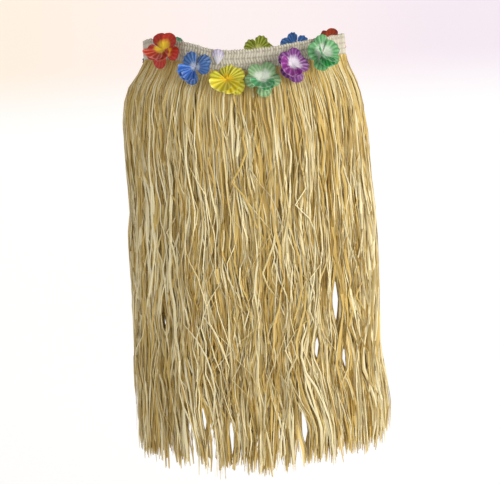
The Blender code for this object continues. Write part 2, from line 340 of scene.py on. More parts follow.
DROPS = np.linspace(0.0, PROFILE[-1][0], 200)
SHAPES = np.array([eased(PROFILE, drop) for drop in DROPS])
TURNS = np.linspace(-180.0, 180.0, 721)
TOPS = np.array([eased(BAND_TOP, turn)[0] for turn in TURNS])


def shape_at(drop):
    """Half width, half depth and shift of the hanging form at each drop."""
    return tuple(np.interp(drop, DROPS, SHAPES[:, column]) for column in range(3))


def band_top(angle):
    """Level of the band's top edge at each angle in radians."""
    return np.interp((np.degrees(angle) + 180) % 360 - 180, TURNS, TOPS)


def loop_angle(share):
    """Angle at each share of the waist loop's length, from the front."""
    steps = np.linspace(0.0, 2 * math.pi, 1441)
    middles = (steps[1:] + steps[:-1]) / 2
    half_width, half_depth = PROFILE[0][1:3]
    lengths = np.concatenate(([0.0], np.cumsum(reach(middles, half_width, half_depth))))
    return np.interp(share % 1.0, lengths / lengths[-1], steps)


def reach(angle, half_width, half_depth):
    """Metres along the loop for each radian."""
    return np.hypot(half_width * np.cos(angle), half_depth * np.sin(angle))


def outward(angle, half_width, half_depth):
    """Unit vectors that point out of the loop."""
    across, along = np.sin(angle) / half_width, -np.cos(angle) / half_depth
    size = np.hypot(across, along)
    return np.stack((across / size, along / size, np.zeros_like(size)), axis=-1)


def on_loop(angle, shape, out, level):
    """Points out metres outside the loop and at that level."""
    half_width, half_depth, shift = shape
    across, along = shift + half_width * np.sin(angle), -half_depth * np.cos(angle)
    rim = np.stack(np.broadcast_arrays(across, along, level), axis=-1)
    return rim + outward(angle, half_width, half_depth) * np.asarray(out)[..., None]


def smooth(share):
    """Rises from 0 to 1 with no kink at either end."""
    held = np.clip(share, 0.0, 1.0)
    return held * held * (3 - 2 * held)


def tint(name, description, default):
    """A colour property."""
    return FloatVectorProperty(
        name=name, description=description, default=default, subtype="COLOR", min=0.0, max=1.0
    )


def metres(name, description, default):
    """A length property."""
    return FloatProperty(name=name, description=description, default=default, unit="LENGTH")


def portion(name, description, default):
    """A property for a share."""
    return FloatProperty(name=name, description=description, default=default, subtype="FACTOR")


def watts(name, description, default):
    """A property for a light's power."""
    return FloatProperty(name=name, description=description, default=default, unit="POWER")


def number(name, description, default):
    """A property for degrees or another plain number."""
    return FloatProperty(name=name, description=description, default=default)


class Wire:
    """A value socket that adds Math nodes when it is used in a sum."""

    def __init__(self, finish, socket):
        self.finish = finish
        self.socket = socket

    def sum(self, operation, first, second):
        node = self.finish.node("ShaderNodeMath", {"operation": operation}, {0: first, 1: second})
        return Wire(self.finish, node.outputs[0])

    def __add__(self, other):
        return self.sum("ADD", self, other)

    def __sub__(self, other):
        return self.sum("SUBTRACT", self, other)

    def __rsub__(self, other):
        return self.sum("SUBTRACT", other, self)

    def __mul__(self, other):
        return self.sum("MULTIPLY", self, other)

    def between(self, low, high):
        """0 at low, 1 at high, eased."""
        node = self.finish.node(
            "ShaderNodeMapRange",
            {"interpolation_type": "SMOOTHSTEP"},
            {"Value": self, "From Min": low, "From Max": high, "To Min": 0.0, "To Max": 1.0},
        )
        return Wire(self.finish, node.outputs[0])


class Finish:
    """One material and its nodes."""

    def __init__(self, name):
        self.material = bpy.data.materials.new(name)
        self.material.use_nodes = True
        self.tree = self.material.node_tree
        self.shader = self.tree.nodes["Principled BSDF"]

    def put(self, socket, value):
        """Links a wire or a socket, or sets a constant."""
        if isinstance(value, Wire):
            value = value.socket
        if isinstance(value, bpy.types.NodeSocket):
            self.tree.links.new(value, socket)
        else:
            socket.default_value = value

    def node(self, kind, settings, inputs):
        """A node of that type, with its settings made first and then its sockets filled."""
        made = self.tree.nodes.new(kind)
        for name, value in settings.items():
            setattr(made, name, value)
        for key, value in inputs.items():
            self.put(made.inputs[key], value)
        return made

    def surface(self, **inputs):
        """Fills sockets of the Principled shader; an underscore stands for a space."""
        for name, value in inputs.items():
            self.put(self.shader.inputs[name.replace("_", " ")], value)

    def mixed(self, factor, first, second):
        """A colour between two colours; the node holds the factor between 0 and 1."""
        made = self.tree.nodes.new("ShaderNodeMix")
        made.data_type = "RGBA"
        colours = [socket for socket in made.inputs if socket.type == "RGBA"]
        self.put(made.inputs[0], factor)
        for socket, colour in zip(colours, (first, second)):
            self.put(socket, colour if isinstance(colour, bpy.types.NodeSocket) else (*colour, 1.0))
        return next(socket for socket in made.outputs if socket.type == "RGBA")

    def value(self, attribute):
        """A number kept on the mesh."""
        made = self.node("ShaderNodeAttribute", {"attribute_name": attribute}, {})
        return Wire(self, made.outputs["Fac"])

    def vector(self, attribute):
        """A vector kept on the mesh."""
        return self.node("ShaderNodeAttribute", {"attribute_name": attribute}, {}).outputs["Vector"]

    def place(self):
        """The object's own coordinates."""
        return self.node("ShaderNodeTexCoord", {}, {}).outputs["Object"]

    def grain(self, where, stretch, detail=2.0, roughness=0.5):
        """Noise between about 0.2 and 0.8 on a stretched vector."""
        multiply = {"operation": "MULTIPLY"}
        scaled = self.node("ShaderNodeVectorMath", multiply, {0: where, 1: stretch})
        made = self.node(
            "ShaderNodeTexNoise",
            {},
            {"Vector": scaled.outputs[0], "Scale": 1.0, "Detail": detail, "Roughness": roughness},
        )
        return Wire(self, made.outputs[0])

    def bumped(self, height, distance, strength=1.0):
        """Bends the shader's normal by a height."""
        inputs = {"Height": height, "Distance": distance, "Strength": strength}
        made = self.node("ShaderNodeBump", {}, inputs)
        self.put(self.shader.inputs["Normal"], made.outputs[0])


def as_data(name, mesh):
    """Turns a worked mesh into mesh data."""
    data = bpy.data.meshes.new(name)
    mesh.to_mesh(data)
    mesh.free()
    return data


def placed(name, data):
    """Puts a new object into the scene."""
    made = bpy.data.objects.new(name, data)
    bpy.context.scene.collection.objects.link(made)
    return made


def shown(name, mesh, material, nodes):
    """Makes the mesh a piece of the skirt that stands for those nodes."""
    data = as_data(name, mesh)
    data.materials.append(material)
    piece = placed(name, data)
    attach(piece, "root")
    if nodes:
        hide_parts(*nodes)
    return piece


def kept(data, name, values, kind="FLOAT"):
    """Keeps numbers or vectors on the mesh's points."""
    attribute = data.attributes.new(name, kind, "POINT")
    field = "value" if kind == "FLOAT" else "vector"
    attribute.data.foreach_set(field, np.asarray(values, np.float32).ravel())


def points_of(data):
    """The mesh's points as an array."""
    points = np.empty(len(data.vertices) * 3, np.float32)
    data.vertices.foreach_get("co", points)
    return points.reshape(-1, 3).astype(float)


def upright(edge):
    """Whether an edge of the stock stands up."""
    return abs(edge.verts[0].co.z - edge.verts[1].co.z) > 0.5


def softened(mesh):
    """Turns the faces outwards and smooths them."""
    bmesh.ops.recalc_face_normals(mesh, faces=mesh.faces)
    for face in mesh.faces:
        face.smooth = True
    return mesh


def shaped(data, points):
    """Moves the stock's points to their places and opens it as a mesh."""
    data.vertices.foreach_set("co", points.astype(np.float32).ravel())
    mesh = bmesh.new()
    mesh.from_mesh(data)
    bpy.data.meshes.remove(data)
    return softened(mesh)


def strand_stock(count, rows):
    """Straight three-sided strands side by side, each 1 tall, closed and cut into rows."""
    mesh = bmesh.new()
    bmesh.ops.create_cone(mesh, cap_ends=True, segments=3, radius1=1.0, radius2=1.0, depth=1.0)
    uprights = [edge for edge in mesh.edges if upright(edge)]
    bmesh.ops.subdivide_edges(mesh, edges=uprights, cuts=rows - 1)
    made = 1
    while made < count:
        copied = bmesh.ops.duplicate(mesh, geom=mesh.verts[:] + mesh.edges[:] + mesh.faces[:])
        moved = [item for item in copied["geom"] if isinstance(item, bmesh.types.BMVert)]
        bmesh.ops.translate(mesh, verts=moved, vec=(STOCK_APART * made, 0.0, 0.0))
        made *= 2
    bmesh.ops.recalc_face_normals(mesh, faces=mesh.faces)
    return as_data("strand_stock", mesh)


def wander(dice, drop, bend, hold):
    """A path of straight lengths with kinks between them, as an offset at each row."""
    count, rows = drop.shape
    slope = dice.normal(0.0, 1.0, count)
    offset = np.zeros((count, rows))
    for row in range(1, rows):
        kinked = dice.uniform(0.0, 1.0, count) < KINKED
        slope = np.where(kinked, dice.normal(0.0, 1.0, count), slope)
        step = drop[:, row] - drop[:, row - 1]
        offset[:, row] = offset[:, row - 1] * hold + slope * bend[:, row] * step
    return offset


def waves(dice, drop, usual, wave, group=None):
    """A sine along each strand, or the same one for all strands of a group."""
    size, shortest, longest = wave
    count = len(drop) if group is None else group.max() + 1
    span = dice.uniform(shortest, longest, (count, 1))
    start = dice.uniform(0.0, 2 * math.pi, (count, 1))
    height = dice.normal(0.0, size * usual, (count, 1))
    if group is not None:
        span, start, height = span[group], start[group], height[group]
    return height * np.sin(2 * math.pi * drop / span + start)


def parted(turned, drop, along_loop, out):
    """Pushes strands aside where they part, each to the side of the slit that it passes on."""
    strand = np.arange(len(drop))
    slits = [(row[0], row[1], row[4], row[5]) for row in PARTINGS]
    slits += [
        (row[2], row[3], row[4] + FAR_SLIT_LONGER, row[5] * FAR_SLIT_WIDER) for row in PARTINGS
    ]
    for around, level, half_length, half_width in slits:
        reach_x, reach_y, _ = shape_at(level)
        angle = math.radians(around)
        inset = out * outward(angle, reach_x, reach_y)[0] / (reach_x * math.cos(angle))
        gap = (turned - angle + inset + math.pi) % (2 * math.pi) - math.pi
        gap *= along_loop
        middle = np.abs(drop - level).argmin(axis=1)
        sign = np.where(gap[strand, middle] < 0, -1.0, 1.0)[:, None]
        passed = gap * sign
        open_here = np.clip(1 - ((drop - level) / half_length) ** 2, 0.0, 1.0)
        push = half_width * np.exp(-np.maximum(passed, 0.0) / (2.5 * half_width))
        push -= np.minimum(passed, 0.0)
        near = np.abs(gap[strand, middle]) < SLIT_NEAR
        turned = turned + np.where(near[:, None], sign * push * open_here / along_loop, 0.0)
    return turned


def strand_lengths(strands, dice, angle, apart, tuft):
    """Level of each strand's root and its length down to the ragged hem."""
    count = len(angle)
    root = band_top(angle) - BAND_HEIGHT + strands.tuck
    hem = HEM_LEVEL + HEM_SIDE_RISE * np.sin(angle) ** 2
    ragged = strands.ragged * dice.triangular(-1.0, 0.15, 0.5, strands.tufts)[tuft]
    ragged -= np.abs(dice.normal(0.0, 0.008, count)) + np.abs(apart) * 0.10
    drawn = dice.uniform(0.0, 1.0, count)
    short = np.where(drawn < strands.broken, dice.uniform(*BROKEN_OFF, count), 0.0)
    worn = (drawn > strands.broken) & (drawn < strands.broken + strands.worn)
    return root, root - hem + ragged - short - np.where(worn, dice.uniform(*WORN_OFF, count), 0.0)


def lay_strands(strands, count, width, near, far, bright, strays, seed):
    """Centre lines, twist, width and tone of one layer of strands."""
    dice = np.random.default_rng(strands.seed * 100 + seed)
    common = np.random.default_rng(strands.seed)
    slots = (np.arange(count) + dice.uniform(0.0, 1.0, count)) / count
    tuft = np.floor(slots * strands.tufts).astype(int) % strands.tufts
    angle = loop_angle(slots)
    hearts = np.arange(strands.tufts) + 0.5 + common.uniform(-0.3, 0.3, strands.tufts)
    heart = loop_angle(hearts / strands.tufts)[tuft]
    apart = (angle - heart + math.pi) % (2 * math.pi) - math.pi
    root, length = strand_lengths(strands, dice, angle, apart, tuft)
    share = np.linspace(0.0, 1.0, strands.rows + 1)[None, :] ** 1.08
    drop = length[:, None] * share
    grown = np.clip(drop / -HEM_LEVEL, 0.0, 1.0)
    settled = smooth(drop / SETTLING)
    free = 1 - np.exp(-drop / SETTLING)
    shape = shape_at(np.maximum(drop - strands.tuck, 0.0))
    along_loop = reach(angle[:, None], shape[0], shape[1])
    swing = np.where(dice.uniform(0.0, 1.0, count) < strays, STRAY_SWING, 1.0)
    unruly = swing[:, None] * (0.75 + 0.55 * grown)

    sway, kink = strands.sway, strands.kink * (0.5 + 1.2 * grown)
    ending = smooth((grown - ENDS_FROM) / ENDS_OVER)
    gather = strands.gather * grown + strands.hem_gather * ending
    unruly *= 1 - 0.75 * ending
    side = SWAY_WIDTH * grown * np.sin(SWAY_WAVES * angle[:, None] + SWAY_TWIST * grown)
    side += free * waves(common, drop, sway, TUFT_SWAY, tuft)
    side += free * (1 - ending) * waves(dice, drop, sway, TUFT_BEND, tuft)
    side += free * unruly * waves(dice, drop, sway, LONG_SWAY)
    side += free * unruly * waves(dice, drop, sway, SHORT_SWAY)
    side += free * unruly * wander(dice, drop, kink, SIDE_HOLD)
    side -= apart[:, None] * along_loop * gather * dice.uniform(0.75, 1.10, (count, 1))

    lift = waves(dice, drop, sway, LIFT_SWAY) + 0.5 * wander(dice, drop, kink, LIFT_HOLD)
    fold = FOLD_DEPTH * grown * np.sin(FOLD_WAVES * angle[:, None] + FOLD_TWIST * grown)
    out = np.clip(free * unruly * lift, *LIFT_LIMITS) + fold - dice.uniform(near, far, (count, 1))
    out = out * settled - (1 - settled) * dice.uniform(*ROOT_DEPTHS, (count, 1))
    turned = parted(angle[:, None] + side / along_loop, drop, along_loop, out)
    centre = on_loop(turned, shape, out, root[:, None] - drop)

    twist = dice.normal(0.0, 0.5, (count, 1)) + dice.normal(0.0, strands.twist, (count, 1)) * drop
    turning = waves(dice, drop, 1.0, TWIST_WAVE)
    twist += turning + 1.6 * wander(dice, drop, 6.0 + 0 * drop, TWIST_HOLD)
    wide = np.clip(dice.lognormal(math.log(width), 0.34, (count, 1)), *WIDTH_LIMITS)
    wide = wide * (1 + waves(dice, drop, 1.0, WIDTH_WAVE)) * (0.75 + 0.25 * settled)
    tip = np.interp(share, (0.0, TIP_FROM, 1.0), (1.0, 1.0, TIP_WIDTH))
    wide = np.maximum(wide, LEAST_WIDTH) * tip
    # Pale strands have their own paler colour; their larger share in the outer layers is partly
    # painted light.
    pale = dice.uniform(0.0, 1.0, count) < bright
    tone = np.where(pale, dice.uniform(*BRIGHT_TONES, count), dice.uniform(*OTHER_TONES, count))
    return centre, outward(turned, shape[0], shape[1]), twist, wide, tone, drop


def strand_layer(strands, material, name, node, slot, count, *form):
    """One layer of fine strands as a piece."""
    data = strand_stock(count, strands.rows)
    stock = points_of(data)
    index = np.round(stock[:, 0] / STOCK_APART).astype(int)
    row = strands.rows - np.round((stock[:, 2] + 0.5) * strands.rows).astype(int)
    corner = np.arctan2(stock[:, 1], stock[:, 0] - index * STOCK_APART)
    corner = np.round((corner % (2 * math.pi)) / (2 * math.pi / 3) - 0.75).astype(int) % 3
    centre, outer, twist, width, tone, drop = lay_strands(strands, count, *form)
    along = np.gradient(centre, axis=1)
    along /= np.linalg.norm(along, axis=2, keepdims=True)
    across = np.cross(along, outer)
    across /= np.linalg.norm(across, axis=2, keepdims=True)
    facing = np.cross(across, along)
    turn = twist[..., None]
    flat = across * np.cos(turn) + facing * np.sin(turn)
    raised = facing * np.cos(turn) - across * np.sin(turn)
    corners = np.stack(
        (
            centre - flat * width[..., None] * 0.5,
            centre + flat * width[..., None] * 0.5,
            centre + raised * (width[..., None] * 0.13 + strands.wall),
        )
    )
    sideways = np.array((-0.5, 0.5, 0.0))[corner] * width[index, row]
    kept(data, "strand_tone", tone[index])
    kept(data, "strand_drop", drop[index, row])
    lie = np.stack((sideways * 1000.0, tone[index] * 50.0 + index * 0.7, drop[index, row]), axis=-1)
    kept(data, "strand_lie", lie, "FLOAT_VECTOR")
    mesh = shaped(data, corners[corner, index, row])
    for edge in mesh.edges:
        one, other = edge.link_faces
        edge.smooth = one.normal.dot(other.normal) > CREASE
    return shown(name, mesh, material, (node,))


def raffia(name, base, deep, pale):
    """Dry raffia: fine streaks along each strand, golden blotches, a soft sheen and painted shade
    below the band.
    """
    finish = Finish(name)
    tone = finish.value("strand_tone")
    lie = finish.vector("strand_lie")
    streak = finish.grain(lie, (1.9, 1.0, 9.0), 3.0, 0.6)
    blotch = finish.grain(lie, (0.2, 1.0, 14.0))
    # Painted shade: strands are darker close under the band, where the band and flowers shade them.
    shade_below_band = finish.value("strand_drop").between(0.0, 0.30)
    warmth = tone * 1.1 + blotch * 0.75 + shade_below_band * 0.20 - 0.58
    colour = finish.mixed(warmth.between(0.05, 0.62), deep, base)
    colour = finish.mixed(warmth.between(0.52, 0.98), colour, pale)
    colour = finish.mixed(streak.between(0.58, 0.80) * 0.35, colour, deep)
    finish.surface(Base_Color=colour, Roughness=streak * 0.30 + 0.40, Specular_IOR_Level=0.35)
    finish.bumped(streak, 0.0004, 0.3)
    return finish.material


class SkirtStrands(bpy.types.PropertyGroup):
    """Sizes and colours of the raffia strands."""

    seed: IntProperty(name="Seed", description="Which of the possible skirts", default=4, min=0)
    rows: IntProperty(name="Rows", description="Lengths in one strand", default=26, min=8, max=40)
    wall: metres("Wall", "Least thickness", 0.0003)
    tuck: metres("Tuck", "Length inside the band", 0.004)
    tufts: IntProperty(name="Tufts", description="Tufts round the hem", default=66, min=8)
    ragged: metres("Ragged", "Difference in length of the tufts", 0.042)
    broken: portion("Broken", "Share of shorter strands", 0.12)
    worn: portion("Worn", "Share with worn-off ends", 0.42)
    sway: metres("Sway", "Usual sideways sway of a strand", 0.0029)
    kink: number("Kink", "Usual slope between two kinks", 0.075)
    twist: number("Twist", "Usual turn in a metre, in radians", 3.0)
    gather: portion("Gather", "Share by which tufts draw together", 0.35)
    hem_gather: portion("Hem", "Share by which their ends do", 0.55)
    deep: tint("Deep", "Golden brown of shaded strands", (0.58, 0.400, 0.115))
    # Painted light: this lighter colour, not the straw, is given to the strands underneath to lift
    # the shade between strands.
    lifted_gold: tint("Gold", "Colour of the strands underneath", (0.74, 0.560, 0.215))
    base: tint("Straw", "Colour of most strands", (0.57, 0.418, 0.145))
    pale: tint("Pale", "Cream of bright strands", (0.80, 0.710, 0.450))


class SkirtBand(bpy.types.PropertyGroup):
    """Sizes and colours of the waistband."""

    ribs: IntProperty(name="Ribs", description="Strand heads round the band", default=192, min=90)
    rib_depth: metres("Rib depth", "Depth between two heads", 0.0012)
    outer_rows: IntProperty(name="Outer rows", description="Rows of stitching outside", default=4)
    inner_rows: IntProperty(name="Inner rows", description="Rows of stitching inside", default=5)
    thread: metres("Thread", "Thickness of the sewing thread", 0.0007)
    colour: tint("Band", "Colour of the band", (0.62, 0.575, 0.465))
    # Painted shade: the dark colour put in the valleys between ribs and in the dents under the
    # stitches.
    shade: tint("Band shade", "Colour between its ribs", (0.27, 0.23, 0.165))
    stitch: tint("Thread colour", "Colour of the thread", (0.64, 0.60, 0.51))


class SkirtFlower(bpy.types.PropertyGroup):
    """Place and colours of one flower; its name is that of the solid it covers."""

    slot: StringProperty(name="Slot", description="Material slot of the part", default="petal_red")
    around: number("Around", "Degrees round the band from the front", 0.0)
    level: metres("Level", "Height of its face", 0.0)
    looks: number("Looks", "Degrees its face looks to the side", 0.0)
    tilt: number("Tilt", "Degrees its face tilts up", 0.0)
    radius: metres("Radius", "Length of its petals", 0.033)
    aside: metres("Aside", "How far its face leans aside", 0.0)
    above: metres("Above", "How far its face leans upwards", 0.0)
    roll: number("Roll", "Degrees it is turned on its axis", 0.0)
    lip_around: number("Lip", "Degrees round its face where the lip hangs", 270)
    reach: number("Reach", "Share of a petal that the throat tints", 0.5)
    pleated: number("Pleated", "Depth of its pleats, as a share of the usual", 1.0)
    throat: tint("Throat", "Colour of the throat", (0.9, 0.9, 0.9))
    petal: tint("Petal", "Colour of the petals", (0.7, 0.1, 0.1))
    # Painted shade: the bed colour fills the pleats' valleys; it also gives the petals' darker edges
    # and blots.
    bed: tint("Beds", "Colour down in the pleats and at the edge", (0.5, 0.05, 0.05))
    # The lip's deeper colour is partly its own and partly painted shade of the cupped, doubled
    # cloth.
    lip: tint("Lip petals", "Colour of the folded lip", (0.6, 0.05, 0.05))


class SkirtPetals(bpy.types.PropertyGroup):
    """Sizes that all flowers share."""

    wall: metres("Wall", "Thickness of the cloth", 0.0004)
    pleats: IntProperty(name="Pleats", description="Pleats across one petal", default=5, min=3)
    pleat_depth: metres("Pleat depth", "Depth of a pleat at the edge", 0.0017)
    notch: portion("Notch", "How much shorter a petal's corners are", 0.34)
    along: IntProperty(name="Along", description="Faces along one petal", default=9, min=5)
    cut: number("Cut", "Side of the square that a flower is cut from, in radii", 2.6)
    used: portion("Used", "Share of the square in the flower", 0.62)


class SkirtStage(bpy.types.PropertyGroup):
    """Floor, light and camera."""

    floor: metres("Floor", "Level of the floor", -1.05)
    key: watts("Key", "Power of the main light", 206.0)
    fill: watts("Fill", "Power of the fill light", 14.0)
    sky: number("Sky", "Strength of the even light", 0.47)
    glow: number("Glow", "Light that the paper gives by itself", 0.72)
    lens: number("Lens", "Focal length in millimetres", 107.3)


class SKIRT_OT_strands(bpy.types.Operator):
    """Hangs four layers of raffia strands from the band"""

    bl_idname = "skirt.strands"
    bl_label = "Raffia strands"

    def execute(self, context):
        strands = context.scene.skirt_strands
        straw = raffia("raffia_straw_strands", strands.base, strands.deep, strands.pale)
        # The strands underneath take a lighter copy of the raffia: painted light that lifts the
        # shade between the strands.
        shade = raffia("raffia_shade_strands", strands.lifted_gold, strands.base, strands.pale)
        for row in LAYERS:
            strand_layer(strands, shade if row[2] == "raffia_shade" else straw, *row)
        return {"FINISHED"}


def hoop_stock(columns, points, hoops):
    """Closed hoops round Z, with the turn, the place in the section and the hoop of each point."""
    mesh = bmesh.new()
    for hoop in range(hoops):
        lift = Matrix.Translation((0.0, 0.0, hoop * 2.0 * points + (points - 1) / 2))
        size = {"radius1": 1.0, "radius2": 1.0, "depth": points - 1}
        wall = bmesh.ops.create_cone(mesh, cap_ends=False, segments=columns, matrix=lift, **size)
        uprights = {edge for vert in wall["verts"] for edge in vert.link_edges if upright(edge)}
        bmesh.ops.subdivide_edges(mesh, edges=list(uprights), cuts=points - 2)
        bmesh.ops.bridge_loops(mesh, edges=[edge for edge in mesh.edges if edge.is_boundary])
    data = as_data("hoop_stock", mesh)
    stock = points_of(data)
    turn = np.arctan2(stock[:, 1], stock[:, 0]) / (2 * math.pi)
    level = np.round(stock[:, 2]).astype(int)
    return data, turn, level % (2 * points), level // (2 * points)


def band_relief(band, turn, up, outside):
    """Rise of the band's ribs above its wall, with a dent under every other rib's stitch."""
    dice = np.random.default_rng(21)
    rows = band.outer_rows if outside else band.inner_rows
    lean = 0.25 * np.sin(math.pi * rows * up)
    count = (turn % 1.0) * band.ribs + lean
    rib = np.floor(count).astype(int) % band.ribs
    strength = dice.uniform(0.6, 1.0, band.ribs)[rib]
    lane = np.abs((up * rows) % 1.0 - 0.5) * (BAND_HEIGHT / rows)
    dent = np.exp(-((lane / DENT_HEIGHT) ** 2)) * (0.35 + 0.65 * ((rib + np.floor(up * rows)) % 2))
    return band.rib_depth * np.sin(math.pi * (count % 1.0)) ** 0.6 * strength * (1 - 0.8 * dent)


def outer_face(band, up):
    """How far the valleys between the ribs stand from the band's inside."""
    return BAND_WALL + BAND_BULGE * np.sin(math.pi * up) - band.rib_depth / 2


class SKIRT_OT_band(bpy.types.Operator):
    """Makes the ribbed waistband and its rows of stitching"""

    bl_idname = "skirt.band"
    bl_label = "Waistband"

    def execute(self, context):
        band = context.scene.skirt_band
        section = OUTSIDE_POINTS + INSIDE_POINTS
        data, turn, point, _ = hoop_stock(band.ribs * RIB_FACES, section, 1)
        outside = point < OUTSIDE_POINTS
        up_inside = 1 - (point - OUTSIDE_POINTS) / (INSIDE_POINTS - 1)
        up = np.where(outside, point / (OUTSIDE_POINTS - 1), up_inside)
        angle = loop_angle(turn)
        relief = np.where(outside, *(band_relief(band, turn, up, side) for side in (True, False)))
        wall = np.where(outside, outer_face(band, up) + relief, -relief)
        rib = np.floor(turn % 1.0 * band.ribs).astype(int) % band.ribs
        heads = np.random.default_rng(22).uniform(*HEAD_HEIGHTS, band.ribs)[rib]
        heads = heads * np.abs(np.sin(math.pi * turn * band.ribs)) * smooth((up - 0.85) / 0.15)
        level = band_top(angle) - BAND_HEIGHT * (1 - up) + heads
        # The relief also sets the weave's painted shade in the valleys and the stitch dents.
        kept(data, "band_rib", relief / band.rib_depth)
        lie = np.stack((turn * band.ribs, up * 40.0, outside * 7.0), axis=-1)
        kept(data, "band_lie", lie, "FLOAT_VECTOR")
        mesh = shaped(data, on_loop(angle, PROFILE[0][1:], wall - BAND_WALL, level))
        piece = shown("band", mesh, self.woven(band), ("waistband",))
        rows = ((True, band.outer_rows), (False, band.inner_rows))
        threads = [self.rows(band, outside, count) for outside, count in rows]
        return {"FINISHED"}

    def woven(self, band):
        """Ribs of flattened raffia with darker valleys: painted shade between the ribs and in the
        stitch dents.
        """
        finish = Finish("raffia_band_weave")
        rib = finish.value("band_rib")
        lie = finish.vector("band_lie")
        fibre = finish.grain(lie, (2.2, 0.25, 1.0), 3.0, 0.6)
        patch = finish.grain(lie, (0.09, 0.10, 1.0))
        # Painted shade: the lower the relief, the closer the colour comes to the shade colour.
        ridge = rib.between(0.10, 0.80) * 0.85 + fibre * 0.25
        colour = finish.mixed(ridge, band.shade, band.colour)
        colour = finish.mixed(patch.between(0.45, 0.75) * 0.35, colour, band.stitch)
        finish.surface(Base_Color=colour, Roughness=fibre * 0.25 + 0.55, Sheen_Weight=0.10)
        finish.bumped(fibre, 0.0003, 0.6)
        return finish.material

    def rows(self, band, outside, count):
        """Rows of thread that ride over each rib."""
        data, turn, point, row = hoop_stock(band.ribs * THREAD_FACES, THREAD_SIDES, count)
        section = point * 2 * math.pi / THREAD_SIDES
        beside, above = np.cos(section), np.sin(section)
        angle = loop_angle(turn)
        up = (row + 0.5) / count
        relief = band_relief(band, turn, up, outside)
        radius = band.thread / 2
        wave = np.cos(math.pi * (turn * band.ribs + row))
        face = outer_face(band, up) if outside else 0.0
        height = relief + radius * (0.4 + 1.2 * wave)
        out = face + (height if outside else -height) + beside * radius
        level = band_top(angle) - BAND_HEIGHT * (1 - up) + above * radius + THREAD_WAVER * wave
        made = shaped(data, on_loop(angle, PROFILE[0][1:], out - BAND_WALL, level))
        finish = Finish("thread_outside" if outside else "thread_inside")
        ply = finish.grain(finish.place(), (900.0, 900.0, 900.0))
        # Painted shade: the rows inside the band take a darker copy of the same thread's colour.
        colour = band.stitch if outside else [c * 0.55 for c in band.stitch]
        colour = finish.mixed(ply.between(0.3, 0.7), [c * 0.6 for c in colour], colour)
        finish.surface(Base_Color=colour, Roughness=0.8)
        name = "stitching_outside" if outside else "stitching_inside"
        return shown(name, made, finish.material, ("waistband",))


def pleat(petals, across):
    """Height of the pleats across a petal, -1 in a bed and 1 on a ridge."""
    return 2 / math.pi * math.asin(math.cos(math.pi * across * petals.pleats))


def petal_point(petals, length, across, along, spread, forward, cup, curl, depth, waver):
    """A point of a pleated petal in its flower's face, along X from the throat, Z forwards."""
    corner = abs(across) ** CORNER_POWER * petals.notch
    corner += 0.02 * (1 - pleat(petals, across)) * depth
    out = length * (THROAT + (1 - THROAT) * along) * (1 - corner * along)
    gone = out / length
    lean = math.radians(forward)
    turn = (across + SIDE_WAVER * waver[1] * gone) * math.radians(spread) / 2
    rise = out * math.sin(lean) + cup * length * across**2 * gone - curl * length * gone**CURL_POWER
    rise += petals.pleat_depth * depth * gone**PLEAT_POWER * pleat(petals, across)
    rise += length * gone**2 * (RIPPLE * math.sin(2.6 * across + waver[0]) + LEAN_WAVER * waver[1])
    flat = out * math.cos(lean)
    return Vector((flat * math.cos(turn), out * math.sin(turn), rise))


def add_petal(mesh, marks, petals, place, length, pose, waver, lip, tone):
    """Adds one petal, its cloth given a wall, with marks for its colours."""
    size = {"x_segments": petals.pleats * 6, "y_segments": petals.along, "size": 1.0}
    grid = bmesh.ops.create_grid(mesh, **size)["verts"]
    for vert in grid:
        side, along = vert.co.x, (vert.co.y + 1) / 2
        for mark, value in zip(marks, (along, pleat(petals, side), lip, tone)):
            vert[mark] = value
        vert.co = place @ petal_point(petals, length, side, along, *pose, waver)
    cloth = {face for vert in grid for face in vert.link_faces}
    bmesh.ops.solidify(mesh, geom=list(cloth), thickness=petals.wall)


def petal_place(middle, turn, degrees):
    """Where a petal stands: turned in its flower's face, about the middle of it."""
    return Matrix.Translation(middle) @ turn @ Matrix.Rotation(math.radians(degrees), 4, "Z")


def flower_place(row):
    """Where the flower is fixed, the middle of its face, and the face's turn and axis."""
    angle = math.radians(row.around)
    top = float(band_top(angle))
    fix_level = min(max(row.level, top - BAND_HEIGHT + FIX_MARGIN), top - FIX_MARGIN)
    crest = BAND_BULGE + RIB_RISE
    fix = Vector(on_loop(angle, PROFILE[0][1:], crest, fix_level))
    centre = Vector(on_loop(angle, PROFILE[0][1:], crest + FACE_STAND_OFF, row.level))
    look, up = math.radians(row.looks), math.radians(row.tilt)
    axis = Vector((math.sin(look) * math.cos(up), -math.cos(look) * math.cos(up), math.sin(up)))
    across = Vector((math.cos(look), math.sin(look), 0))
    upright = axis.cross(across)
    centre += across * row.aside + upright * row.above
    return fix, centre, Matrix((across, upright, axis)).transposed().to_4x4(), axis


